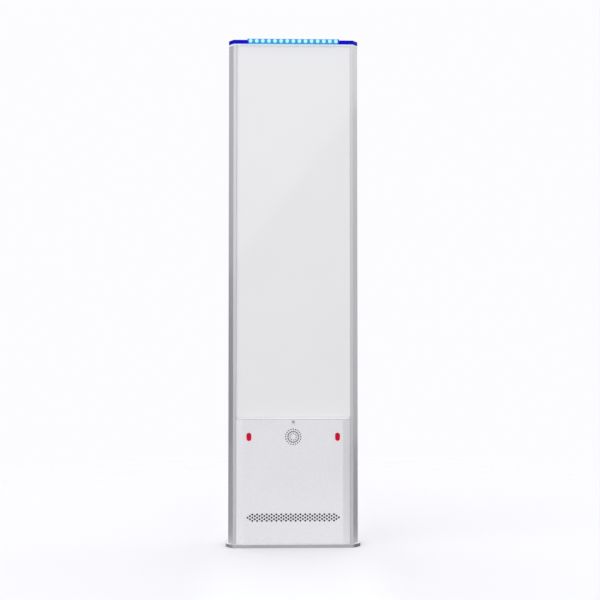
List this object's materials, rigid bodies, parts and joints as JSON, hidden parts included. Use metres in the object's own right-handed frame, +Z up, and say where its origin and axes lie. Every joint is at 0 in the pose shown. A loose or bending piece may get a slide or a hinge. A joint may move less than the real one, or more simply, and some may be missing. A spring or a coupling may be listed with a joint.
{
  "type": "security gate pedestal",
  "caption": "Free-standing shop-exit security gate pedestal: aluminium uprights, glossy panels, lit blue top cap and a bevelled tilting service cover over reader, speaker and sensors.",
  "frame": {"origin": "centre of the base plate's underside, on the floor", "axes": "+Z up, -Y out of the front (service cover) face, +X to the right seen from the front"},
  "size_m": [0.422, 0.1142, 1.6],
  "materials": {
    "upright_aluminium": "satin anodised",
    "base_grey": "satin powder coat",
    "zinc_steel": "zinc plated",
    "screw_steel": "bright zinc",
    "panel_white": "high gloss",
    "cover_white": "semi gloss",
    "window_red": "clear polished",
    "cap_blue": "translucent polished",
    "lens_clear_blue": "translucent polished",
    "lamp_glow": "lit",
    "opal": "opal",
    "black_plastic": "moulded",
    "rocker_red": "moulded",
    "button_green": "moulded",
    "black_rubber": "matt",
    "cable_black": "matt",
    "board_green": "solder mask",
    "board_white": "solder mask",
    "terminal_cream": "moulded",
    "supply_steel": "folded sheet",
    "reader_black": "black anodised",
    "socket_brass": "gold plated",
    "aerial_metal": "mill finish",
    "spacer_nylon": "moulded",
    "basket_steel": "black",
    "cone_paper": "pressed paper",
    "screen_cloth": "fine mesh"
  },
  "bodies": {
    "frame": {"aerial_cables": "cable_black", "aerial_carrier": "zinc_steel", "aerial_ground_plates": "aerial_metal", "aerial_patches": "aerial_metal", "aerial_spacers": "spacer_nylon", "base_bolts": "screw_steel", "base_plate": "base_grey", "board_components": "black_plastic", "cable_grommet": "black_rubber", "cap_screws": "screw_steel", "chassis_pillars": "zinc_steel", "chassis_plate": "zinc_steel", "clip_nut": "zinc_steel", "control_board": "board_green", "control_bracket": "zinc_steel", "cover_hinge_brackets": "zinc_steel", "cover_hinge_pins": "screw_steel", "frame_screws": "screw_steel", "front_lamp_lens": "lens_clear_blue", "front_panel": "panel_white", "lamp_boards": "board_white", "lamp_cables": "cable_black", "lamp_driver": "black_plastic", "lamps": "lamp_glow", "left_foot_bracket": "zinc_steel", "left_sensor_module": "black_plastic", "left_upright": "upright_aluminium", "light_diffuser": "opal", "mains_cable": "cable_black", "middle_rail": "cover_white", "power_supply": "supply_steel", "reader_module": "reader_black", "reader_sockets": "socket_brass", "rear_cover": "cover_white", "rear_cover_screws": "screw_steel", "rear_lamp_lens": "lens_clear_blue", "rear_panel": "panel_white", "reset_switch": "black_plastic", "right_foot_bracket": "zinc_steel", "right_sensor_module": "black_plastic", "right_upright": "upright_aluminium", "speaker_basket": "basket_steel", "speaker_cable": "cable_black", "speaker_cone": "cone_paper", "speaker_magnet": "black_plastic", "switch_body": "black_plastic", "terminal_block": "terminal_cream", "top_cap": "cap_blue", "top_rail": "zinc_steel", "volume_pot": "black_plastic"},
    "service_cover": {"front_cover": "cover_white", "left_sensor_window": "window_red", "right_sensor_window": "window_red", "dust_screens": "screen_cloth"},
    "lock_screw": {"cover_screw": "screw_steel", "screw_retainer": "screw_steel"},
    "rocker": {"power_rocker": "rocker_red"},
    "knob": {"volume_knob": "black_plastic"},
    "button": {"reset_button": "button_green"}
  },
  "joints": [
    {"name": "cover_tilt", "type": "hinge", "parent": "frame", "child": "service_cover", "pos_m": [0, -0.049, 0.0185], "axis": [1, 0, 0], "range_deg": [0, 80]},
    {"name": "lock_turn", "type": "hinge", "parent": "service_cover", "child": "lock_screw", "pos_m": [0, -0.055, 0.391], "axis": [0, 1, 0], "continuous": true},
    {"name": "rocker_tip", "type": "hinge", "parent": "frame", "child": "rocker", "pos_m": [0.062, -0.0315, 0.294], "axis": [1, 0, 0], "range_deg": [0, 16]},
    {"name": "knob_turn", "type": "hinge", "parent": "frame", "child": "knob", "pos_m": [0.085, -0.035, 0.294], "axis": [0, 1, 0], "range_deg": [0, 270]},
    {"name": "reset_press", "type": "slide", "parent": "frame", "child": "button", "axis": [0, 1, 0], "range_m": [0, 0.002]}
  ]
}
